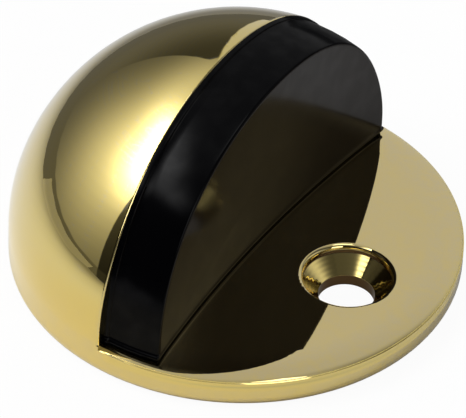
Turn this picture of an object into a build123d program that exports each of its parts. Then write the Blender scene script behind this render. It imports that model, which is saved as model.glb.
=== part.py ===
"""Half-dome floor stop: a one-piece hooded brass base with a snapped-in rubber buffer.

Millimetres. The floor is z = 0 and +Z points up. The door comes from -Y, so the buffer
and the fixing hole face -Y and the closed back of the dome faces +Y. The part is
mirror-symmetric about x = 0 and its origin is under the middle of the round base.
"""
import os

from build123d import *

# --- Overall size ---------------------------------------------------------------------
BASE_DIA = 45.0           # widest diameter, shared by the dome and the round base
HEIGHT = 25.0             # floor to crown
SPRING_Z = 4.0            # height where the upright rim turns into the dome
SIDE_FULLNESS = 0.43      # upright handle of the dome's curve, as a part of its rise
CROWN_FULLNESS = 0.643    # level handle of the dome's curve, as a part of its radius

# --- Base plate -----------------------------------------------------------------------
PLATE_T = 3.65            # thickness of the plate in front of the hood
FOOT_RADIUS = 1.4         # rounding between the rim and the underside
ROLL_WIDTH = 3.6          # polishing rolls the plate top off over this width
ROLL_DROP = 0.45          # how far the roll-off has fallen where it meets the rim
ROLL_LEVEL = 2.25         # level handle at the inner end of the roll-off's curve
ROLL_STEEP = 0.45         # and how far its steep handle reaches in from the rim
RIM_RADIUS = 0.3          # polished break between the roll-off and the rim

# --- Hood -----------------------------------------------------------------------------
SEAT_Y = 1.6              # plane of the hood's front face, which the buffer sits on
EDGE_RADIUS = 0.3         # polished break round the hood's front face
WEB_T = 3.5               # upright wall that takes the door's push
WALL_T = 2.4              # dome wall over the hollow
HOLLOW_RADIUS = 1.0       # casting radius where the web meets the dome wall

# --- Fixing hole ----------------------------------------------------------------------
HOLE_Y = -12.8            # centre of the hole
BORE_DIA = 5.6            # straight bore at the floor end
SINK_DIA = 8.8            # top of the 90 degree countersink
SINK_STEP = 0.4           # straight wall above the countersink
SINK_LIP = 0.45           # rounding between that wall and the plate top

# --- Buffer ---------------------------------------------------------------------------
BUFFER_PROUD = 6.0        # how far the buffer stands out of the hood's front face
RIM_MARGIN = 1.2          # how far the pad stays inside the rim where it meets the hood
CROWN_MARGIN = 0.25       # and how far under the crown
BACK_FULLNESS = 0.59      # its shoulder there, 0.552 being round and more being squarer
FACE_TAPER = 0.2          # how much each side comes in towards the striking face
FACE_FALL = 0.4           # how much the top comes down
FACE_FULLNESS = 0.565     # shoulder at the striking face
PAD_SWELL = 0.16          # how far the pad's outside swells between the two
PAD_EDGE = 0.3            # rounding round the striking face
RIB_PROUD = 0.15          # sealing rib next to the hood, proud of the pad
RIB_T = 0.55              # thickness of that rib
RIB_EDGE = 0.12           # rounding of its outer edges
BEAD_Z = 0.55             # height of the foot bead above the plate
BEAD_T = 0.5              # thickness of the foot bead
BEAD_PROUD = 0.25         # how far the bead stands out of the buffer's sides
FOOT_INSET = 0.2          # the foot below the bead is this much narrower

# --- Snap stems moulded on the back of the buffer -------------------------------------
STEM_X = 8.5              # half the distance between the stems
STEM_Z = 11.0             # height of the stems above the floor
STEM_DIA = 4.0            # neck in the web
STEM_GAP = 0.15           # clearance round the neck
HEAD_DIA = 6.0            # barbed head behind the web
HEAD_LEN = 3.0            # length of the head
HEAD_TIP_DIA = 3.2        # blunt tip of the head

# --- Worked out from the sizes above --------------------------------------------------
BASE_R = BASE_DIA / 2
WEB_BACK_Y = SEAT_Y + WEB_T
FRONT_Y = SEAT_Y - BUFFER_PROUD
BACK_SIDE = BASE_R - RIM_MARGIN                 # half width of the pad at the hood
BACK_RISE = HEIGHT - CROWN_MARGIN - PLATE_T     # and its height over the plate
FACE_SIDE = BACK_SIDE - FACE_TAPER
FACE_RISE = BACK_RISE - FACE_FALL
REACH = BASE_DIA + HEIGHT  # longer than anything in the part


def wall_foot(radius, floor_z, foot_radius):
    """Floor line out to the wall and the rounding up into it, for an open outline."""
    floor_line = Line((0, floor_z), (radius - foot_radius, floor_z))
    if foot_radius:
        TangentArc(floor_line @ 1, (radius, floor_z + foot_radius), tangent=(1, 0))


def dome_face(inset, floor_z=0.0, foot_radius=0.0):
    """Half section of the dome in x and z, with the skin moved inwards by inset."""
    radius = BASE_R - inset
    crown = HEIGHT - inset
    rise = crown - SPRING_Z
    with BuildSketch(Plane.XZ) as section:
        with BuildLine():
            wall_foot(radius, floor_z, foot_radius)
            Line((radius, floor_z + foot_radius), (radius, SPRING_Z))
            Bezier(
                (radius, SPRING_Z), (radius, SPRING_Z + SIDE_FULLNESS * rise),
                (CROWN_FULLNESS * radius, crown), (0, crown),
            )
            Line((0, crown), (0, floor_z))
        make_face()
    return section.sketch


def dome_solid(inset, floor_z=0.0, foot_radius=0.0):
    """Solid under the dome's skin, with the skin moved inwards by inset."""
    return revolve(dome_face(inset, floor_z, foot_radius), Axis.Z)


def slab(y_front, y_back, z_low, z_high):
    """Wide upright slab between two y planes and two z planes."""
    depth = y_back - y_front
    return Pos(0, y_front, z_low) * Box(
        2 * REACH, depth, z_high - z_low, align=(Align.CENTER, Align.MIN, Align.MIN)
    )


def fixing_hole():
    """Cutter for the bore, its 90 degree countersink and the rounded mouth."""
    bore_r = BORE_DIA / 2
    sink_r = SINK_DIA / 2
    mouth_r = sink_r + SINK_LIP
    lip_low = PLATE_T - SINK_LIP
    sink_top = lip_low - SINK_STEP
    bore_top = sink_top - (sink_r - bore_r)
    with BuildPart() as cutter:
        with BuildSketch(Plane.XZ):
            with BuildLine():
                Polyline(
                    (0, -1), (bore_r, -1), (bore_r, bore_top),
                    (sink_r, sink_top), (sink_r, lip_low),
                )
                RadiusArc((sink_r, lip_low), (mouth_r, PLATE_T), SINK_LIP)
                Polyline((mouth_r, PLATE_T), (mouth_r, PLATE_T + 1), (0, PLATE_T + 1), (0, -1))
            make_face()
        revolve(axis=Axis.Z)
    return Pos(0, HOLE_Y, 0) * cutter.part


def stem_axis(x):
    """Frame on the seat plane at a stem, looking back into the hood."""
    return Plane(origin=(x, SEAT_Y, STEM_Z), x_dir=(1, 0, 0), z_dir=(0, 1, 0))


def stem_holes():
    """Cutters for the two holes in the web."""
    hole_r = STEM_DIA / 2 + STEM_GAP
    return [
        stem_axis(x) * Cylinder(hole_r, 3 * WEB_T)
        for x in (-STEM_X, STEM_X)
    ]


def hollow():
    """Space under the dome, open to the floor, with cast corners against the web."""
    space = dome_solid(WALL_T, floor_z=-1) & slab(WEB_BACK_Y, REACH, -1, HEIGHT)
    web_edges = [e for e in space.edges() if abs(e.center().Y - WEB_BACK_Y) < 0.01]
    corner = [e for e in web_edges if e.bounding_box().size.Z > PLATE_T]
    return fillet(corner, HOLLOW_RADIUS)


def front_plate():
    """Front half of the round base, its top rolled off towards a broken rim edge."""
    rim_top = PLATE_T - ROLL_DROP
    roll_start = BASE_R - ROLL_WIDTH
    with BuildSketch(Plane.XZ) as section:
        with BuildLine():
            wall_foot(BASE_R, 0, FOOT_RADIUS)
            Line((BASE_R, FOOT_RADIUS), (BASE_R, rim_top))
            Bezier(
                (BASE_R, rim_top), (BASE_R - ROLL_STEEP, PLATE_T - ROLL_DROP / 2),
                (roll_start + ROLL_LEVEL, PLATE_T), (roll_start, PLATE_T),
            )
            Polyline((roll_start, PLATE_T), (0, PLATE_T), (0, 0))
        make_face()
        rim_corner = section.vertices().filter_by(
            lambda v: abs(v.Z - rim_top) < 0.01 and v.X > BASE_R - 0.01
        )
        fillet(rim_corner, RIM_RADIUS)
    return revolve(section.sketch, Axis.Z) & slab(-REACH, SEAT_Y, 0, PLATE_T)


def hood():
    """Back half of the dome, with a polished break along its front edge."""
    dome = dome_solid(0, foot_radius=FOOT_RADIUS)
    upper = dome & slab(SEAT_Y, REACH, PLATE_T, REACH)
    front_edge = [
        e for e in upper.edges()
        if abs(e.center().Y - SEAT_Y) < 0.01 and e.bounding_box().size.Z > HEIGHT / 2
    ]
    return fillet(front_edge, EDGE_RADIUS) + (dome & slab(SEAT_Y, REACH, 0, PLATE_T))


def hooded_base():
    """Brass casting: round plate, hood, web, hollow and fixing hole."""
    body = hood() + front_plate()
    body -= hollow()
    body -= fixing_hole()
    for cutter in stem_holes():
        body -= cutter
    return body


def half_round(y, side, rise, fullness):
    """Half-round outline standing on the plate top, in the plane at depth y."""
    with BuildSketch(Plane.XZ.offset(-y)) as outline:
        with BuildLine():
            shoulder = Bezier(
                (side, PLATE_T), (side, PLATE_T + fullness * rise),
                (fullness * side, PLATE_T + rise), (0, PLATE_T + rise),
            )
            mirror(shoulder, Plane.YZ)
            Line((-side, PLATE_T), (side, PLATE_T))
        make_face()
    return outline.sketch


def pad_block(grow=0.0):
    """Pad from the hood to the striking face, with its skin moved out by grow."""
    face_y = FRONT_Y - grow
    middle_grow = grow + PAD_SWELL
    back = half_round(SEAT_Y, BACK_SIDE + grow, BACK_RISE + grow, BACK_FULLNESS)
    middle = half_round(
        (SEAT_Y + face_y) / 2,
        (BACK_SIDE + FACE_SIDE) / 2 + middle_grow,
        (BACK_RISE + FACE_RISE) / 2 + middle_grow,
        (BACK_FULLNESS + FACE_FULLNESS) / 2,
    )
    face = half_round(face_y, FACE_SIDE + grow, FACE_RISE + grow, FACE_FULLNESS)
    return loft([back, middle, face])


def rounded_pad():
    """Pad with the rounding round its striking face."""
    pad = pad_block()
    arc = pad.edges().group_by(Axis.Y)[0].sort_by(Axis.Z)[1:]
    return fillet(arc, PAD_EDGE)


def sealing_rib():
    """Thin rounded rib that follows the pad's outline against the hood."""
    side = BACK_SIDE + RIB_PROUD
    rise = BACK_RISE + RIB_PROUD
    rib = extrude(half_round(SEAT_Y, side, rise, BACK_FULLNESS), RIB_T)
    arcs = [e for e in rib.edges() if e.bounding_box().size.Z > rise / 2]
    return fillet(arcs, RIB_EDGE)


def foot_bead():
    """Small rounded bead round the foot of the pad."""
    low = PLATE_T + BEAD_Z - BEAD_T / 2
    bead = pad_block(BEAD_PROUD) & slab(-REACH, SEAT_Y, low, low + BEAD_T)
    outside = [e for e in bead.edges() if e.center().Y < SEAT_Y - 0.01]
    long_edges = [e for e in outside if e.bounding_box().size.Z < 0.1]
    return fillet(long_edges, BEAD_T / 2 - 0.02)


def snap_stem():
    """Neck and barbed head, drawn along its own axis from the seat plane."""
    neck_len = WEB_T + STEM_GAP
    with BuildPart() as stem:
        with BuildSketch(Plane.XZ):
            Polygon(
                (0, -1), (STEM_DIA / 2, -1), (STEM_DIA / 2, neck_len),
                (HEAD_DIA / 2, neck_len), (HEAD_DIA / 2, neck_len + HEAD_LEN / 4),
                (HEAD_TIP_DIA / 2, neck_len + HEAD_LEN), (0, neck_len + HEAD_LEN),
                align=None,
            )
        revolve(axis=Axis.Z)
    return stem.part


def rubber_buffer():
    """Moulded buffer: pad, sealing rib, foot bead and the two snap stems."""
    foot_top = PLATE_T + BEAD_Z - BEAD_T / 2
    buffer = (rounded_pad() + sealing_rib()) & slab(-REACH, SEAT_Y, foot_top, REACH)
    buffer += pad_block(-FOOT_INSET) & slab(-REACH, SEAT_Y, PLATE_T, foot_top)
    buffer += foot_bead()
    for x in (-STEM_X, STEM_X):
        buffer += stem_axis(x) * snap_stem()
    return buffer


os.makedirs("parts", exist_ok=True)
export_step(hooded_base(), "parts/hooded_base.step")
export_step(rubber_buffer(), "parts/rubber_buffer.step")
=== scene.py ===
# %% [markdown]
# # A half-dome floor stop, from bare frame to studio view
# The stop is a round brass plate with a hollow half dome cast on it, and a black rubber
# buffer across the open front. Everything is in metres, with the floor at z = 0 and the
# door coming from -Y.

# %% Load the frame
import math

import bmesh
import bpy
from mathutils import Matrix, Vector


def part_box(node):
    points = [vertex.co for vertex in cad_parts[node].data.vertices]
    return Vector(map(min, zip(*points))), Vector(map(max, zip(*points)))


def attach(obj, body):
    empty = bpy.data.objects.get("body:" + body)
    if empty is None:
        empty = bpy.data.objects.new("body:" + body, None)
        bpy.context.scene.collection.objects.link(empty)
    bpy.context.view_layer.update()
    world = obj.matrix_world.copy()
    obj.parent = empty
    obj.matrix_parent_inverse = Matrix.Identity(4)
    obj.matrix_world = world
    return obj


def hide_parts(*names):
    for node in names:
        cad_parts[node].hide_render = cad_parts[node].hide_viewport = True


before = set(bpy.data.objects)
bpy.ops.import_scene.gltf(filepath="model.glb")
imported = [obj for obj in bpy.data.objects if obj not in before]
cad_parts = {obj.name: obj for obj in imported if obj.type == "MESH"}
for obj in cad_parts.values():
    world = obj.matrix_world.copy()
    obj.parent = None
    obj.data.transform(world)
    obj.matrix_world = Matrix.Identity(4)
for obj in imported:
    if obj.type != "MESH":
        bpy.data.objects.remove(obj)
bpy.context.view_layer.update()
print("frame nodes:", sorted(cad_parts))

# %% [markdown]
# The buffer stands on the plate, so the height of the plate's top is read off the frame and
# follows the construction when that changes. Blender works in metres, and sizes are easier
# to read in millimetres, so each one is written as so many times MM.

# %% Sizes
MM = 0.001
base_low, base_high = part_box("hooded_base")
buffer_low, buffer_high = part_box("rubber_buffer")
PLATE_TOP = buffer_low.z
print(f"base {(base_high.x - base_low.x) / MM:.1f} mm wide, {base_high.z / MM:.1f} mm high")
print(f"buffer {(buffer_high.x - buffer_low.x) / MM:.1f} mm wide, on {PLATE_TOP / MM:.2f} mm")

# %% [markdown]
# A long lens from the front left, looking down on the stop, keeps the round base and the
# dome free of perspective swelling. The camera is slightly tilted about its own axis. The
# three directions of its own frame are worked out first, because a matrix built from them
# says plainly where the camera looks, which three Euler angles don't.

# %% Camera directions
CAMERA_AZIMUTH = math.radians(-59.34)
CAMERA_ELEVATION = math.radians(40.19)
CAMERA_ROLL = math.radians(2.30)

back = Vector((
    math.sin(CAMERA_AZIMUTH) * math.cos(CAMERA_ELEVATION),
    -math.cos(CAMERA_AZIMUTH) * math.cos(CAMERA_ELEVATION),
    math.sin(CAMERA_ELEVATION),
))
level_right = Vector((math.cos(CAMERA_AZIMUTH), math.sin(CAMERA_AZIMUTH), 0))
level_up = back.cross(level_right)
right = level_right * math.cos(CAMERA_ROLL) + level_up * math.sin(CAMERA_ROLL)
up = level_up * math.cos(CAMERA_ROLL) - level_right * math.sin(CAMERA_ROLL)
print("camera looks along", [round(-v, 3) for v in back])

# %% Camera
CAMERA_DISTANCE = 441.4 * MM
AIM_HEIGHT = 8.0 * MM
AIM_RIGHT = -0.488 * MM
AIM_UP = -1.530 * MM
LENS = 347.6
SENSOR_WIDTH = 36
NEAREST = 10 * MM
FARTHEST = 50

aim = Vector((0, 0, AIM_HEIGHT)) + right * AIM_RIGHT + up * AIM_UP
camera_data = bpy.data.cameras.new("camera")
camera_data.lens = LENS
camera_data.sensor_width = SENSOR_WIDTH
camera_data.clip_start = NEAREST
camera_data.clip_end = FARTHEST
camera = bpy.data.objects.new("camera", camera_data)
camera.matrix_world = Matrix.Translation(aim + back * CAMERA_DISTANCE) @ Matrix((
    (right.x, up.x, back.x, 0),
    (right.y, up.y, back.y, 0),
    (right.z, up.z, back.z, 0),
    (0, 0, 0, 1),
))
bpy.context.scene.collection.objects.link(camera)
bpy.context.scene.camera = camera
print("camera at", [round(v, 4) for v in camera.matrix_world.translation])

# %% [markdown]
# Shader maths is easier to read as Python than as a list of nodes. `Wire` holds one
# socket; arithmetic on it adds Math nodes, and `Wire.of` adds any other node.

# %% Wires between nodes
class Wire:
    """One value travelling through a node tree."""

    def __init__(self, socket):
        self.socket = socket
        self.tree = socket.id_data

    @classmethod
    def of(cls, tree, kind, settings=None, inputs=None, out=0):
        """Adds a node, sets it up, feeds its sockets, and returns one of its outputs."""
        node = tree.nodes.new(kind)
        for name, value in (settings or {}).items():
            if name == "stops":
                cls.fill_ramp(node.color_ramp, value)
            else:
                setattr(node, name, value)
        for name, value in (inputs or {}).items():
            if isinstance(value, cls):
                tree.links.new(value.socket, node.inputs[name])
            else:
                node.inputs[name].default_value = value
        return cls(node.outputs[out])

    @staticmethod
    def fill_ramp(ramp, stops):
        """Gives a colour ramp its stops, with a smooth curve through them."""
        ramp.interpolation = "CARDINAL"
        while len(ramp.elements) < len(stops):
            ramp.elements.new(1.0)
        for element, (place, shade) in zip(ramp.elements, stops):
            element.position = place
            element.color = (*shade, 1.0)

    def maths(self, operation, *others, swap=False):
        """Adds a Math node on this wire and the others, in turn or swapped."""
        terms = [self, *others]
        if swap:
            terms.reverse()
        inputs = dict(enumerate(terms))
        return Wire.of(self.tree, "ShaderNodeMath", {"operation": operation}, inputs)

    def __add__(self, other):
        return self.maths("ADD", other)

    def __radd__(self, other):
        return self.maths("ADD", other, swap=True)

    def __sub__(self, other):
        return self.maths("SUBTRACT", other)

    def __rsub__(self, other):
        return self.maths("SUBTRACT", other, swap=True)

    def __mul__(self, other):
        return self.maths("MULTIPLY", other)

    def __rmul__(self, other):
        return self.maths("MULTIPLY", other, swap=True)

    def __truediv__(self, other):
        return self.maths("DIVIDE", other)

    def __rtruediv__(self, other):
        return self.maths("DIVIDE", other, swap=True)

    def at_least(self, other):
        """This value, but never below the other."""
        return self.maths("MAXIMUM", other)

    def ramp_up(self, low, high):
        """0 below low, 1 above high, and a smooth step between them."""
        limits = {"Value": self, "From Min": low, "From Max": high}
        settings = {"interpolation_type": "SMOOTHSTEP"}
        return Wire.of(self.tree, "ShaderNodeMapRange", settings, limits, "Result")

    def towards(self, direction):
        """How far this vector reaches in a direction: their dot product."""
        settings = {"operation": "DOT_PRODUCT"}
        inputs = {0: self, 1: direction}
        return Wire.of(self.tree, "ShaderNodeVectorMath", settings, inputs, "Value")

    def distance_to(self, point):
        """Distance from this place to a point."""
        settings = {"operation": "DISTANCE"}
        inputs = {0: self, 1: point}
        return Wire.of(self.tree, "ShaderNodeVectorMath", settings, inputs, "Value")


def finish_tree(tree, kind, shader):
    """Adds the output node, which has no output of its own."""
    tree.links.new(shader.socket, tree.nodes.new(kind).inputs["Surface"])


ALONG_X = Vector((1, 0, 0))
ALONG_Y = Vector((0, 1, 0))
ALONG_Z = Vector((0, 0, 1))
TOWARDS_DOOR = Vector((0, -1, 0))
print("wires are ready for", ", ".join(name for name in vars(Wire) if name[:2] != "__"))

# %% [markdown]
# Mirror metal has no colour of its own: it shows the room. So the studio is built first,
# and only its light is drawn, as a brightness for each direction. Lamps could do it too,
# but a mirror shows every lamp's outline, and these soft boxes have edges that fade.

# %% Directions in the studio
def direction(azimuth, elevation):
    """Unit vector for a compass azimuth and an elevation in degrees."""
    turn = math.radians(azimuth)
    lift = math.radians(elevation)
    across = math.cos(lift)
    return Vector((math.sin(turn) * across, -math.cos(turn) * across, math.sin(lift)))


world = bpy.data.worlds.new("studio")
bpy.context.scene.world = world
world.use_nodes = True
room = world.node_tree
room.nodes.clear()
look = Wire.of(room, "ShaderNodeTexCoord", out="Generated")
print("a direction half way up at the back:", [round(v, 2) for v in direction(180, 45)])

# %% [markdown]
# A soft box is a bell curve on the sky, given by its middle, its brightness and the angles
# at which it has fallen to half. The key light is the sum of two such curves, because it is
# a long box seen askew, with a wide spill of light under it. The others are a glow behind
# the dome, and two small boxes, at the front right and at the left, for the countersink.

# %% Soft boxes
IN_FRONT_FADE = 0.05


def soft_box(azimuth, elevation, strength, half_wide, half_high):
    """Patch of light that fades like a bell curve, wider or higher as asked."""
    middle = direction(azimuth, elevation)
    sideways = direction(azimuth + 90, 0)
    upwards = middle.cross(sideways)
    across = look.towards(sideways) * (1 / math.sin(math.radians(half_wide)))
    along = look.towards(upwards) * (1 / math.sin(math.radians(half_high)))
    fall = -math.log(2) * (across * across + along * along)
    in_front = look.towards(middle).ramp_up(0.0, IN_FRONT_FADE)
    return strength * fall.maths("EXPONENT") * in_front


key_low = soft_box(-139, 48, strength=6.1, half_wide=10.6, half_high=10.4)
key_high = soft_box(-151, 58, strength=8.1, half_wide=11.7, half_high=6.7)
key_spill = soft_box(-156, 37, strength=0.98, half_wide=23.6, half_high=24.5)
back_glow = soft_box(167, 54, strength=0.64, half_wide=35.6, half_high=12.2)
front_box = soft_box(30, 25, strength=0.72, half_wide=24.0, half_high=10.0)
side_box = soft_box(-104, 47, strength=2.4, half_wide=6.0, half_high=5.0)
ROOM_DIM = 0.07
KEY_LIMIT = 6.5
lights = key_low + key_high + key_spill + back_glow + front_box + side_box + ROOM_DIM
lights = lights.maths("MINIMUM", KEY_LIMIT)
print("nodes for the soft boxes:", len(room.nodes))

# %% [markdown]
# Where polished metal should show a dark band, a black card is hung, called a flag. A flag,
# a pale wall, a skylight or a window is the part of the sky on one side of two or more
# planes through the object, so its edges come out straight on the sky and curved on the
# dome, as the reflection of a straight edge does.

# %% Edges of cards
SHARP = 0.006


def beyond(first, second, soft=SHARP):
    """1 on one side of the sky line through two directions, 0 on the other.

    A line that climbs has its 1 towards lower azimuths. One that runs towards lower
    azimuths has its 1 underneath.
    """
    normal = direction(*first).cross(direction(*second)).normalized()
    return look.towards(normal).ramp_up(-soft, soft)


sky_height = look.towards(ALONG_Z)


def above(elevation, soft=SHARP):
    """1 above an elevation in degrees and 0 below it."""
    level = math.sin(math.radians(elevation))
    return sky_height.ramp_up(level - soft, level + soft)


def upright_edge(azimuth, soft=SHARP):
    """1 at lower azimuths than an upright edge, 0 at higher ones."""
    return beyond((azimuth, 0), (azimuth, 30), soft)


print("a card's edge fades over", round(2 * math.degrees(SHARP), 1), "degrees")

# %% Flags and walls
LEFT_FLAG_NEAR = (-131, 27), (-128, 0)
LEFT_FLAG_FAR = -46
LEFT_FLAG_TOP = 42
LEFT_FLAG_SOFT = 0.05
left_flag = beyond(*LEFT_FLAG_NEAR) * upright_edge(LEFT_FLAG_FAR)
left_flag = left_flag * (1 - above(LEFT_FLAG_TOP, LEFT_FLAG_SOFT))

RIGHT_FLAG_SIDE = (118.5, 2), (129, 37)
RIGHT_FLAG_CORNER = (133, 38)
RIGHT_FLAG_BACK = (157, 0)
RIGHT_FLAG_TOP = (120, 36)
flag_side = beyond(*RIGHT_FLAG_SIDE)
right_flag = (1 - flag_side) * beyond(RIGHT_FLAG_BACK, RIGHT_FLAG_CORNER)
right_flag = right_flag * beyond(RIGHT_FLAG_CORNER, RIGHT_FLAG_TOP)

WALL_END = 68
WALL_END_SOFT = 0.25
side_wall = flag_side * (1 - upright_edge(WALL_END, WALL_END_SOFT))
print("flags and wall set, left flag's top at", LEFT_FLAG_TOP, "degrees")

# %% Skylight and window
SKYLIGHT_BOTTOM = 74.3
SKYLIGHT_SOFT = 0.002
SKYLIGHT_END = (93, 0), (93, 60)
skylight = above(SKYLIGHT_BOTTOM, SKYLIGHT_SOFT) * beyond(*SKYLIGHT_END)

WINDOW_SIDES = -45.5, -20
WINDOW_BOTTOM, WINDOW_TOP = 12, 38
window = (1 - upright_edge(WINDOW_SIDES[0])) * upright_edge(WINDOW_SIDES[1])
window = window * above(WINDOW_BOTTOM) * (1 - above(WINDOW_TOP))
print("window is", WINDOW_SIDES[1] - WINDOW_SIDES[0], "degrees wide")

# %% [markdown]
# The sky is put together like a room. The soft boxes, a pale side wall, the ceiling, a
# skylight and one narrow window all give light, and where two overlap the brighter one
# wins, because they hang one in front of the other. The flags are taken off last, since a
# black card hides whatever is behind it. The right flag isn't quite black: the board
# throws some light on its lower part.

# %% Light of the whole sky
WALL_LIGHT = 0.64
WALL_FADE = 0.1
WALL_FADE_FROM, WALL_FADE_SOFT = 47, 0.12
CEILING_LIGHT = 0.5
CEILING_FROM, CEILING_SOFT = 62, 0.1
SKYLIGHT = 2.2
WINDOW_LIGHT = 2.6
FLAG_SHADE = 0.9
FLAG_GLOW_LOW = 0.125
FLAG_GLOW_LOSS = 0.075
FLAG_GLOW_LIMITS = 0.05, 0.55

wall = WALL_LIGHT * side_wall * (1 - WALL_FADE * above(WALL_FADE_FROM, WALL_FADE_SOFT))
ceiling = CEILING_LIGHT * above(CEILING_FROM, CEILING_SOFT) + SKYLIGHT * skylight
open_sky = lights.at_least(wall)
open_sky = open_sky.at_least(ceiling).at_least(WINDOW_LIGHT * window)
flag_glow = FLAG_GLOW_LOW - FLAG_GLOW_LOSS * sky_height.ramp_up(*FLAG_GLOW_LIMITS)
sky = open_sky * (1 - FLAG_SHADE * left_flag) * (1 - right_flag) + flag_glow * right_flag
print("nodes for the whole sky:", len(room.nodes))

# %% [markdown]
# Under the horizon the room is dim, and darker still under the left flag. Far below it is
# lighter, so that the underside of the stop can be judged. The camera itself sees plain
# white paper wherever it looks past the floor.

# %% World
HORIZON = -1
BELOW_LIGHT = 0.12
BELOW_FLAG_SHADE = 0.7
DEEP_LIGHT = 0.6
DEEP_FROM, DEEP_SOFT = -35, 0.1
PAPER_WHITE = (1, 1, 1, 1)

below = BELOW_LIGHT * (1 - BELOW_FLAG_SHADE * left_flag)
below = below + DEEP_LIGHT * (1 - above(DEEP_FROM, DEEP_SOFT))
room_light = sky * above(HORIZON) + below * (1 - above(HORIZON))
lit = {"Color": PAPER_WHITE, "Strength": room_light}
plain = {"Color": PAPER_WHITE, "Strength": 1.0}
studio = Wire.of(room, "ShaderNodeBackground", inputs=lit)
paper = Wire.of(room, "ShaderNodeBackground", inputs=plain)
past_floor = Wire.of(room, "ShaderNodeLightPath", out="Is Camera Ray")
world_look = Wire.of(room, "ShaderNodeMixShader", inputs={0: past_floor, 1: studio, 2: paper})
finish_tree(room, "ShaderNodeOutputWorld", world_look)
print("nodes in the studio:", len(room.nodes))

# %% [markdown]
# Each finish is worked out from where a point is and which way it faces. A few helpers
# keep that short: a new empty material, a mix of two colours, a noise given by the size
# of its grains, and the distance from an upright axis, such as the screw hole's.

# %% Helpers for the finishes
HOLE_PLACE = Vector((0, -12.8, 0)) * MM
MIDDLE = Vector((0, 0, 0))


def new_tree(name):
    """Empty material and its node tree."""
    material = bpy.data.materials.new(name)
    material.use_nodes = True
    material.node_tree.nodes.clear()
    return material, material.node_tree


def mix_colours(share, first, second):
    """Goes from the first colour to the second as the share goes from 0 to 1."""
    inputs = {0: share, 6: first, 7: second}
    return Wire.of(share.tree, "ShaderNodeMix", {"data_type": "RGBA"}, inputs, 2)


def noise(place, size, detail=2.0):
    """Cloudy noise from 0 to 1 with grains of a size in metres."""
    settings = {"noise_dimensions": "3D"}
    inputs = {"Vector": place, "Scale": 1 / size, "Detail": detail}
    return Wire.of(place.tree, "ShaderNodeTexNoise", settings, inputs, "Fac")


def distance_from_axis(place, axis_point):
    """Distance from an upright axis through a point."""
    inputs = {0: place, 1: Vector((1, 1, 0))}
    flat = Wire.of(place.tree, "ShaderNodeVectorMath", {"operation": "MULTIPLY"}, inputs)
    return flat.distance_to(axis_point)


print("hole is", round(-HOLE_PLACE.y / MM, 1), "mm in front of the middle")

# %% [markdown]
# The stop lies on a white board, and a second board continues it at the back left. Past
# their edges the dim room shows in the dome, as a dark gap between board and sky, so the
# places of their corners matter. The boards lie a hair under the plate, because two
# surfaces in one plane flicker.

# %% Floor
FLOOR_DROP = 0.02 * MM
FRONT_LEFT, FRONT_RIGHT = (-105, -150), (150, -150)
BACK_RIGHT, BACK_LEFT = (150, 97), (-120, 97)
WING_CORNER, WING_FAR_RIGHT, WING_FAR_LEFT = (-13, 97), (-34, 260), (-245, 195)

board_corners = [FRONT_LEFT, FRONT_RIGHT, BACK_RIGHT, BACK_LEFT, WING_CORNER]
board_corners += [WING_FAR_RIGHT, WING_FAR_LEFT]
board_points = [(x * MM, y * MM, -FLOOR_DROP) for x, y in board_corners]
boards = [(0, 1, 2, 4, 3), (3, 4, 5, 6)]
floor_mesh = bpy.data.meshes.new("floor")
floor_mesh.from_pydata(board_points, [], boards)
floor = bpy.data.objects.new("floor", floor_mesh)
bpy.context.scene.collection.objects.link(floor)
print("boards laid:", len(floor_mesh.polygons))

# %% [markdown]
# The board's brightness falls off away from the lamp, and near the brass it is warmed by
# the gold light that comes off the metal. The polished surfaces show that, while the
# camera is given plain white paper with the object's shadow.

# %% Shade of the board
board, tree = new_tree("white_board")
place = Wire.of(tree, "ShaderNodeNewGeometry", out="Position")
seen = Wire.of(tree, "ShaderNodeLightPath", out="Is Camera Ray")

BRIGHT_SPOT = Vector((-25, 15, 0)) * MM
BRIGHT_REACH = 15 * MM, 115 * MM
BRIGHT_TONE = 0.89
TONE_LOSS = 0.66
WING_GAIN = 0.11
WING_EDGE = 96 * MM, 98 * MM
on_wing = place.towards(ALONG_Y).ramp_up(*WING_EDGE)
away = place.distance_to(BRIGHT_SPOT).ramp_up(*BRIGHT_REACH)
tone = BRIGHT_TONE - (TONE_LOSS - WING_GAIN * on_wing) * away * (1 - seen)

WARM_SPOT = Vector((-30, 0, 0)) * MM
WARM_REACH = 12 * MM, 42 * MM
GREEN_LOSS = 0.05
BLUE_LOSS = 0.19
warmth = (1 - seen) * (1 - place.distance_to(WARM_SPOT).ramp_up(*WARM_REACH))
green = tone * (1 - GREEN_LOSS * warmth)
blue = tone * (1 - BLUE_LOSS * warmth)
shade = Wire.of(tree, "ShaderNodeCombineColor", inputs={0: tone, 1: green, 2: blue})
print("board goes from", BRIGHT_TONE, "to", round(BRIGHT_TONE - TONE_LOSS, 2))

# %% [markdown]
# The board is clear from below and has a round opening under the plate, so that the
# underside can be looked at too. The patch under the screw hole is kept, since it shows
# through the hole.

# %% White board
PAPER_SHARE = 0.95
OPENING = 20.0 * MM, 21.0 * MM
KEPT_UNDER_HOLE = 3.2 * MM, 3.6 * MM

paint = {"Base Color": shade, "Roughness": 1.0, "Specular IOR Level": 0.0}
matte = Wire.of(tree, "ShaderNodeBsdfPrincipled", inputs=paint)
glow = {"Color": PAPER_WHITE, "Strength": 1.0}
white = Wire.of(tree, "ShaderNodeEmission", inputs=glow)
paper_part = PAPER_SHARE * seen
painted = Wire.of(tree, "ShaderNodeMixShader", inputs={0: paper_part, 1: matte, 2: white})

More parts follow.
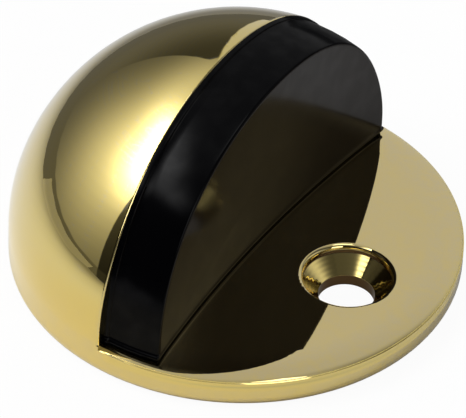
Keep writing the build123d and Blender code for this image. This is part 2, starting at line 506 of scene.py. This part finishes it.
from_behind = Wire.of(tree, "ShaderNodeNewGeometry", out="Backfacing")
beside_hole = distance_from_axis(place, HOLE_PLACE).ramp_up(*KEPT_UNDER_HOLE)
under_plate = 1 - distance_from_axis(place, MIDDLE).ramp_up(*OPENING)
open_part = from_behind.at_least(under_plate * beside_hole)
clear = Wire.of(tree, "ShaderNodeBsdfTransparent")
board_look = Wire.of(tree, "ShaderNodeMixShader", inputs={0: open_part, 1: painted, 2: clear})
finish_tree(tree, "ShaderNodeOutputMaterial", board_look)
floor_mesh.materials.append(board)
print("nodes in the board:", len(tree.nodes))

# %% [markdown]
# The buffer is one moulding of hard black rubber: a half-round pad, a thin rib where it
# seals against the hood, a bead round its foot and two stems that snap into the hood. A
# solid with fillets would be too crisp, because the stems pull the foot of the pad in and
# bow the striking face. So it is lofted: a loop of points is carried from the
# hood to the striking face, and then shrunk in rings to close the face.

# %% Buffer sizes
FACE_Y = -4.4 * MM
PAD_DEPTH = 6.0
BACK_SIZE = (21.3 * MM, 21.1 * MM, 0.59)
FACE_SIZE = (21.1 * MM, 20.7 * MM, 0.565)
FACE_SIDE, FACE_RISE = FACE_SIZE[:2]
print("pad goes from y", round(FACE_Y / MM + PAD_DEPTH, 1), "to", round(FACE_Y / MM, 1), "mm")

# %% Outline of the pad
ARCH_POINTS = 72
FOOT_POINTS = 48
CROWDING = 2.3


def half_arch(side, rise, fullness):
    """Right half of the half-round outline, closely spaced near the foot."""
    points = []
    for step in range(ARCH_POINTS + 1):
        t = (step / ARCH_POINTS) ** CROWDING
        s = 1 - t
        x = side * (s ** 3 + 3 * s * s * t) + 3 * s * t * t * fullness * side
        z = rise * (3 * s * t * t + t ** 3) + 3 * s * s * t * fullness * rise
        points.append((x, z))
    return points


def outline(share, grow):
    """Closed loop at a share of the way from the hood to the face, as (x, height) points."""
    side, rise, fullness = (b + (f - b) * share for b, f in zip(BACK_SIZE, FACE_SIZE))
    right_half = half_arch(side + grow, rise + grow, fullness)
    left_half = [(-x, z) for x, z in reversed(right_half[:-1])]
    foot = [(side * (2 * step / FOOT_POINTS - 1), 0.0) for step in range(1, FOOT_POINTS)]
    return right_half + left_half + foot


print("points in a loop:", len(outline(0, 0)))

# %% [markdown]
# The pad is not a plain extrusion. Where it meets the plate the rubber ends in a thin bead
# that seals against the brass, the striking face hangs back a little in the middle, and
# its lower corners are drawn in. Each of these is a bell curve or a parabola added to the
# loop, so it fades out and leaves no seam, which a separate solid or a fillet would.

# %% Foot of the pad
TUCK, TUCK_HEIGHT = 0.2 * MM, 2.6 * MM
BEAD, BEAD_HEIGHT, BEAD_WIDTH = 0.3 * MM, 0.42 * MM, 0.2 * MM
FOOT_LIP, FOOT_LIP_WIDTH = 0.12 * MM, 0.12 * MM
CORNER_X = 20.3 * MM
TUCK_SPREAD = 4


def bell(value, middle, width):
    """Bell curve of height 1."""
    return math.exp(-((value - middle) / width) ** 2)


def drawn_in(x, z, side, share):
    """x after the corners near the foot have been drawn in, fully so at the face."""
    pull = share * TUCK * bell(z, 0, TUCK_HEIGHT)
    if z == 0:
        return x - x * pull / FACE_SIDE
    return x - math.copysign(pull, x) * min(1, TUCK_SPREAD * abs(x) / side)


def beaded(x, z):
    """x moved out by the bead and the lip at the foot, on the sides only.

    The two bells cancel between them, which leaves a groove under the bead.
    """
    if z == 0 and abs(x) <= CORNER_X:
        return x
    bead = BEAD * bell(z, BEAD_HEIGHT, BEAD_WIDTH)
    foot_lip = FOOT_LIP * bell(z, 0, FOOT_LIP_WIDTH)
    return x + math.copysign(abs(bead - foot_lip), x)


print(f"bead stands out {(beaded(FACE_SIDE, BEAD_HEIGHT) - FACE_SIDE) / MM:.2f} mm")

# %% Bow of the striking face
BOW = 1.5 * MM
UNDERCUT, UNDERCUT_WIDTH = 0.16 * MM, 0.13 * MM
LIP = 0.05 * MM


def face_dip(x, z):
    """How far the striking face lies back from its plane."""
    bow = BOW * max(0, 1 - (x / FACE_SIDE) ** 2) * max(0, 1 - z / FACE_RISE)
    undercut = UNDERCUT * bell(z, 0, UNDERCUT_WIDTH)
    lip = -LIP * bell(z, BEAD_HEIGHT, BEAD_WIDTH)
    return bow + undercut + lip


print(f"face lies back {face_dip(0, 2 * MM) / MM:.2f} mm at its middle, 2 mm up")

# %% [markdown]
# The loops are stacked from the hood outwards: the sealing rib, a long slight swell, and
# a quarter round into the face. Each has its depth behind the face and how far the skin
# stands out there, both in millimetres.

# %% Loft the skin
RIB = [(6.0, 0.15), (5.58, 0.15), (5.48, 0.12), (5.44, 0.02), (5.36, 0.0)]
SWELL = [(4.5, 0.08), (3.2, 0.15), (1.8, 0.13), (0.9, 0.06)]
ROUND_STEPS = 6
ROUND_RADIUS = 0.3
rounding = []
for k in range(ROUND_STEPS):
    turn = k * math.pi / 2 / ROUND_STEPS
    depth = ROUND_RADIUS - ROUND_RADIUS * math.sin(turn)
    rounding.append((depth, ROUND_RADIUS * math.cos(turn) - ROUND_RADIUS))

pad = bmesh.new()
loops = []
for depth, grow in RIB + SWELL + rounding:
    share = 1 - depth / PAD_DEPTH
    side = BACK_SIZE[0] + (FACE_SIDE - BACK_SIZE[0]) * share
    y = FACE_Y + depth * MM
    loop = []
    for x, z in outline(share, grow * MM):
        x = beaded(drawn_in(x, z, side, share), z)
        loop.append(pad.verts.new((x, y + share * face_dip(x, z), PLATE_TOP + z)))
    loops.append(loop)
print("loops along the skin:", len(loops))

# %% [markdown]
# The face is closed by rings that shrink towards its middle, close together at the edge
# where the light changes fast. A single flat face with nearly two hundred corners would
# shade badly and could not be bowed.

# %% Close the pad
FACE_RINGS = [0.0, 0.06, 0.13, 0.2, 0.28, 0.37, 0.48, 0.62, 0.85, 1.2, 1.8, 2.7, 4.0, 5.6, 7.3]
RING_CENTRE = 9.0

for ring in FACE_RINGS:
    scale = 1 - ring / RING_CENTRE
    loop = []
    for x, z in outline(1, -ROUND_RADIUS * MM):
        x = drawn_in(x, z, FACE_SIDE, 1) * scale
        z = RING_CENTRE * MM + (z - RING_CENTRE * MM) * scale
        loop.append(pad.verts.new((x, FACE_Y + face_dip(x, z), PLATE_TOP + z)))
    loops.append(loop)
for first, second in zip(loops, loops[1:]):
    for k in range(len(first)):
        after = (k + 1) % len(first)
        pad.faces.new((first[k], first[after], second[after], second[k]))
pad.faces.new(loops[-1])
pad.faces.new(list(reversed(loops[0])))
print("pad vertices:", len(pad.verts))

# %% [markdown]
# Two stems hold the buffer. Each is pushed through a hole in the web from the front, and
# its cone opens out again behind the web and keeps it there. A turned profile is enough:
# points of radius and depth, in millimetres, are spun about the stem's own axis.

# %% Snap stems
STEM_PROFILE = [
    (0.0, 0.6), (1.9, 0.6), (2.0, 1.0), (2.0, 5.15), (2.1, 5.25), (2.85, 5.27),
    (3.0, 5.42), (3.0, 5.9), (2.9, 6.2), (1.75, 8.1), (1.5, 8.22), (0.0, 8.25),
]
STEM_X = 8.5 * MM
STEM_Z = 11.0 * MM
STEM_SIDES = 40


def stem_row(stem_x, radius, y):
    """Ring of points round a stem, or a single point where the radius is nothing."""
    turns = [2 * math.pi * k / STEM_SIDES for k in range(STEM_SIDES if radius else 1)]
    reach = radius * MM
    return [
        pad.verts.new((stem_x + reach * math.cos(a), y * MM, STEM_Z + reach * math.sin(a)))
        for a in turns
    ]


for stem_x in (-STEM_X, STEM_X):
    rows = [stem_row(stem_x, radius, y) for radius, y in STEM_PROFILE]
    for first, second in zip(rows, rows[1:]):
        for k in range(STEM_SIDES):
            after = (k + 1) % STEM_SIDES
            corners = [
                first[k % len(first)], second[k % len(second)],
                second[after % len(second)], first[after % len(first)],
            ]
            pad.faces.new(list(dict.fromkeys(corners)))
print("vertices with the stems:", len(pad.verts))

# %% [markdown]
# The finished moulding takes the plain buffer's place in the frame. It is shaded smooth,
# but not across the creases where the stems' heads and the back of the pad end.

# %% Moulded buffer
CREASE = math.radians(50)
bmesh.ops.recalc_face_normals(pad, faces=pad.faces[:])
pad_mesh = bpy.data.meshes.new("moulded_buffer")
pad.to_mesh(pad_mesh)
pad.free()
pad_mesh.shade_smooth()
pad_mesh.set_sharp_from_angle(angle=CREASE)
moulded_buffer = bpy.data.objects.new("moulded_buffer", pad_mesh)
bpy.context.scene.collection.objects.link(moulded_buffer)
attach(moulded_buffer, "root")
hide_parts("rubber_buffer")
print("buffer size in mm:", [round(v / MM, 2) for v in moulded_buffer.dimensions])

# %% [markdown]
# The body is one brass casting. What shows is polished and lacquered, so the material is
# metal under a clear coat. Where each finish lies is worked out from place and direction,
# which needs no painted map.

# %% Places on the brass
brass, tree = new_tree("polished_brass")
place = Wire.of(tree, "ShaderNodeNewGeometry", out="Position")
facing = Wire.of(tree, "ShaderNodeNewGeometry", out="Normal")
x = place.towards(ALONG_X)
y = place.towards(ALONG_Y)
z = place.towards(ALONG_Z)
up_amount = facing.towards(ALONG_Z)
out_amount = facing.towards(place)
from_hole = distance_from_axis(place, HOLE_PLACE)
from_middle = distance_from_axis(place, MIDDLE)
print("measures on the brass:", len(tree.nodes), "nodes")

# %% [markdown]
# Underneath and in the hollow nobody polishes the casting, and there it keeps its rough,
# darker cast skin. The hollow is found by its walls facing the middle of the stop.

# %% Cast skin
FACING_DOWN = 0.75, 0.98
FACING_MIDDLE = -0.002, 0.0005
HOLLOW_FRONT = 4.9 * MM, 5.0 * MM
CAST_GRAIN = 0.6 * MM
CAST_DARK = (0.30, 0.21, 0.08, 1)
CAST_PALE = (0.50, 0.37, 0.16, 1)

cast_under = (0 - up_amount).ramp_up(*FACING_DOWN)
in_hollow = (0 - out_amount).ramp_up(*FACING_MIDDLE) * y.ramp_up(*HOLLOW_FRONT)
cast = cast_under.at_least(in_hollow)
cast_tint = mix_colours(noise(place, CAST_GRAIN, 4.0), CAST_DARK, CAST_PALE)
print("cast skin from", CAST_DARK[:3], "to", CAST_PALE[:3])

# %% [markdown]
# The countersink has a straight step, a cone and a bore. The cone is bright from the
# drill, and the step and the bore are given a darker, duller brass.

# %% Darker step and bore in the hole
SINK_EDGE = 4.35 * MM, 4.45 * MM
STEP_EDGE = 4.46 * MM, 4.5 * MM
STEP_FOOT, STEP_TOP = (2.72 * MM, 2.8 * MM), (3.1 * MM, 3.2 * MM)
CONE_FOOT, CONE_TOP = (1.2 * MM, 1.3 * MM), (2.6 * MM, 2.7 * MM)
BORE_TOP = 1.1 * MM, 1.25 * MM
# darker, duller colour for the step and the bore of the hole
HOLE_DARK = (0.17, 0.10, 0.038, 1)

in_hole = 1 - from_hole.ramp_up(*SINK_EDGE)
near_hole = 1 - from_hole.ramp_up(*STEP_EDGE)
on_step = z.ramp_up(*STEP_FOOT) * (1 - z.ramp_up(*STEP_TOP))
on_cone = in_hole * z.ramp_up(*CONE_FOOT) * (1 - z.ramp_up(*CONE_TOP))
in_bore = (1 - z.ramp_up(*BORE_TOP)) * (1 - cast_under)
darkened_in_hole = near_hole * on_step.at_least(in_bore)
print("dark_hole_finish:", HOLE_DARK[:3])

# %% [markdown]
# The plate's flat top is painted a touch paler than the dome, a painted reflection of the
# paler light it faces, though it is the same brass. The tints are then laid over one
# another: polished brass, the darker step and bore, and cast skin.

# %% Tint of the brass
DOME_BRASS = (0.76, 0.60, 0.19, 1)
# painted light: the paler reflection on the flat top, painted into its colour
PLATE_PAINTED_PALER = (0.76, 0.60, 0.235, 1)
FACING_UP = 0.93, 0.99
OVER_PLATE = 3.7 * MM, 3.9 * MM

on_plate = up_amount.ramp_up(*FACING_UP) * (1 - z.ramp_up(*OVER_PLATE))
polished_tint = mix_colours(on_plate, DOME_BRASS, PLATE_PAINTED_PALER)
clean_tint = mix_colours(darkened_in_hole, polished_tint, HOLE_DARK)
tint = mix_colours(cast, clean_tint, cast_tint)
print("brass:", DOME_BRASS[:3])

# %% [markdown]
# The dome in the frame is a net of flat facets. Their averaged normals are a little wrong
# near the cut edge of the hood, and a mirror shows that as saw teeth. The real casting is
# turned to one smooth profile, so the true normal is worked out from that profile: a
# colour ramp holds the tilt of the surface for each height angle seen from the middle.

# %% Profile of the dome
DOME_RADIUS = 22.5 * MM
SPRING_Z = 4.0 * MM
DOME_RISE = 21.0 * MM
DOME_CURVE = [(1.0, 0.0), (1.0, 0.43), (0.643, 1.0), (0.0, 1.0)]
RAMP_STOPS = 32
QUARTER_TURN = math.pi / 2


def weighted(weights, part):
    """Sum of one coordinate of the curve's handles, each with its weight."""
    return sum(w * handle[part] for w, handle in zip(weights, DOME_CURVE))


def dome_stop(t):
    """Ramp stop for a point on the profile: its height angle and the tilt of its normal."""
    s = 1 - t
    place_weights = (s ** 3, 3 * s * s * t, 3 * s * t * t, t ** 3)
    slope_weights = (-s * s, s * s - 2 * s * t, 2 * s * t - t * t, t * t)
    radius = weighted(place_weights, 0) * DOME_RADIUS
    rise = weighted(place_weights, 1) * DOME_RISE
    inwards = weighted(slope_weights, 0) * DOME_RADIUS
    upwards = weighted(slope_weights, 1) * DOME_RISE
    tilt = math.atan2(-inwards, upwards) / QUARTER_TURN
    return math.atan2(rise, radius) / QUARTER_TURN, (tilt, tilt, tilt)


dome_stops = [dome_stop(k / (RAMP_STOPS - 1)) for k in range(RAMP_STOPS)]
print("tilt half way up the ramp:", round(dome_stops[RAMP_STOPS // 2][1][0] * 90, 1), "degrees")

# %% True normal of the dome
SAME_WAY = 0.93

height_angle = (z - SPRING_Z).maths("ARCTAN2", from_middle) / QUARTER_TURN
settings = {"stops": dome_stops}
tilt = Wire.of(tree, "ShaderNodeValToRGB", settings, {"Fac": height_angle}) * QUARTER_TURN
level_part = tilt.maths("COSINE") / from_middle
parts = {"X": x * level_part, "Y": y * level_part, "Z": tilt.maths("SINE")}
true_normal = Wire.of(tree, "ShaderNodeCombineXYZ", inputs=parts)

agrees = facing.towards(true_normal).maths("GREATER_THAN", SAME_WAY)
on_dome = agrees * z.maths("GREATER_THAN", SPRING_Z) * y.maths("GREATER_THAN", 0.0)
choice = {0: on_dome, 4: facing, 5: true_normal}
smooth_normal = Wire.of(tree, "ShaderNodeMix", {"data_type": "VECTOR"}, choice, 1)
print("the true normal is used within", round(math.degrees(math.acos(SAME_WAY))), "degrees")

# %% [markdown]
# A perfect mirror looks false. The lacquer is wavy by a few thousandths of a millimetre,
# the drill has left rings in the cone, the mop has rounded the front rim a little more
# than the frame has, and the cast skin is grainy. All of it is shading relief, far too
# shallow to be worth building.

# %% Relief of the brass
LACQUER_WAVE, LACQUER_RISE = 3.0 * MM, 0.0025 * MM
RING_PITCH, RING_RISE = 0.36 * MM, 0.0015 * MM
RIM_TURN = 2.3 * MM, 3.25 * MM
RIM_OUTSIDE = 22.3 * MM, 22.4 * MM
RIM_FRONT = -1.5 * MM, 1.0 * MM
RIM_FALL = 0.22 * MM
SKIN_GRAIN, SKIN_RISE = 0.35 * MM, 0.04 * MM

lacquer = noise(place, LACQUER_WAVE, 1.0) * LACQUER_RISE
rings = (from_hole * (2 * math.pi / RING_PITCH)).maths("SINE") * on_cone * RING_RISE
on_rim = from_middle.ramp_up(*RIM_OUTSIDE) * (1 - y.ramp_up(*RIM_FRONT))
rim_round = z.ramp_up(*RIM_TURN) * on_rim * -RIM_FALL
skin = noise(place, SKIN_GRAIN, 3.0) * cast * SKIN_RISE
surface = lacquer + rings + rim_round + skin
bump = {"Strength": 1.0, "Distance": 1.0, "Height": surface, "Normal": smooth_normal}
relief = Wire.of(tree, "ShaderNodeBump", inputs=bump)
print(f"drill rings are {RING_PITCH / MM:.2f} mm apart, the rim falls {RIM_FALL / MM:.2f} mm")

# %% [markdown]
# The polish is sharp, the cone is a little duller, the darker step and bore duller still
# and the cast skin the dullest. Only the polished brass and the cone keep the whole of their
# lacquer.

# %% Brass
POLISH_ROUGHNESS = 0.025
CAST_ROUGHNESS, HOLE_DARK_ROUGHNESS, CONE_ROUGHNESS = 0.42, 0.2, 0.05
CAST_BARE, HOLE_DARK_BARE = 0.9, 0.8
LACQUER_ROUGHNESS = 0.01
COAT_IOR = 1.5

roughness = POLISH_ROUGHNESS + CAST_ROUGHNESS * cast
roughness = roughness + HOLE_DARK_ROUGHNESS * darkened_in_hole + CONE_ROUGHNESS * on_cone
lacquered = 1.0 - CAST_BARE * cast - HOLE_DARK_BARE * darkened_in_hole
shader = Wire.of(tree, "ShaderNodeBsdfPrincipled", inputs={
    "Base Color": tint, "Metallic": 1.0, "Roughness": roughness, "Normal": relief,
    "Coat Weight": lacquered, "Coat Roughness": LACQUER_ROUGHNESS, "Coat IOR": COAT_IOR,
})
finish_tree(tree, "ShaderNodeOutputMaterial", shader)
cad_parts["hooded_base"].material_slots[0].material = brass
print("nodes in the brass:", len(tree.nodes))

# %% [markdown]
# Rubber is nearly black and has a dull sheen on top. The striking face is smoother, from
# the polished mould, and its colour is painted lighter and brown, a painted reflection of
# the brass plate in front of it. A clear coat over a base without any gloss of its own
# gives that sheen, and more of it at a flat angle. Smudges from handling vary it.

# %% Tint of the rubber
SIDE_RUBBER = (0.0010, 0.0010, 0.0014, 1)
# painted reflection: the brown of the brass the face mirrors, painted into its colour
FACE_PAINTED_REFLECTION = (0.010, 0.0068, 0.0045, 1)
FACE_LIMITS = 0.8, 0.95
SMUDGE_SIZE = 2.2 * MM
SMUDGE_LIMITS = 0.35, 0.75

rubber, tree = new_tree("black_rubber")
place = Wire.of(tree, "ShaderNodeNewGeometry", out="Position")
facing = Wire.of(tree, "ShaderNodeNewGeometry", out="Normal")
striking = facing.towards(TOWARDS_DOOR).ramp_up(*FACE_LIMITS)
tint = mix_colours(striking, SIDE_RUBBER, FACE_PAINTED_REFLECTION)
smudge = noise(place, SMUDGE_SIZE, 4.0).ramp_up(*SMUDGE_LIMITS)
print("rubber from", SIDE_RUBBER[:3], "to", FACE_PAINTED_REFLECTION[:3])

# %% Rubber
GRAIN_SIZE, GRAIN_RISE = 0.3 * MM, 0.0012 * MM
SIDE_SHEEN = 0.13
SMUDGE_SHEEN = 0.07
FACE_SHEEN = 0.27
SHEEN_ROUGHNESS = 0.13
RUBBER_ROUGHNESS = 0.8

grain = noise(place, GRAIN_SIZE, 2.0) * GRAIN_RISE
bump = {"Strength": 1.0, "Distance": 1.0, "Height": grain}
relief = Wire.of(tree, "ShaderNodeBump", inputs=bump)
sheen = SIDE_SHEEN + SMUDGE_SHEEN * smudge + FACE_SHEEN * striking
shader = Wire.of(tree, "ShaderNodeBsdfPrincipled", inputs={
    "Base Color": tint, "Roughness": RUBBER_ROUGHNESS, "Specular IOR Level": 0.0,
    "Coat Weight": sheen, "Coat Roughness": SHEEN_ROUGHNESS, "Coat IOR": COAT_IOR,
    "Normal": relief,
})
finish_tree(tree, "ShaderNodeOutputMaterial", shader)
pad_mesh.materials.append(rubber)
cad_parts["rubber_buffer"].material_slots[0].material = rubber
print("nodes in the rubber:", len(tree.nodes))

# %% [markdown]
# The view is shown without a film look, so white paper stays white.

# %% View transform
bpy.context.scene.view_settings.view_transform = "Standard"
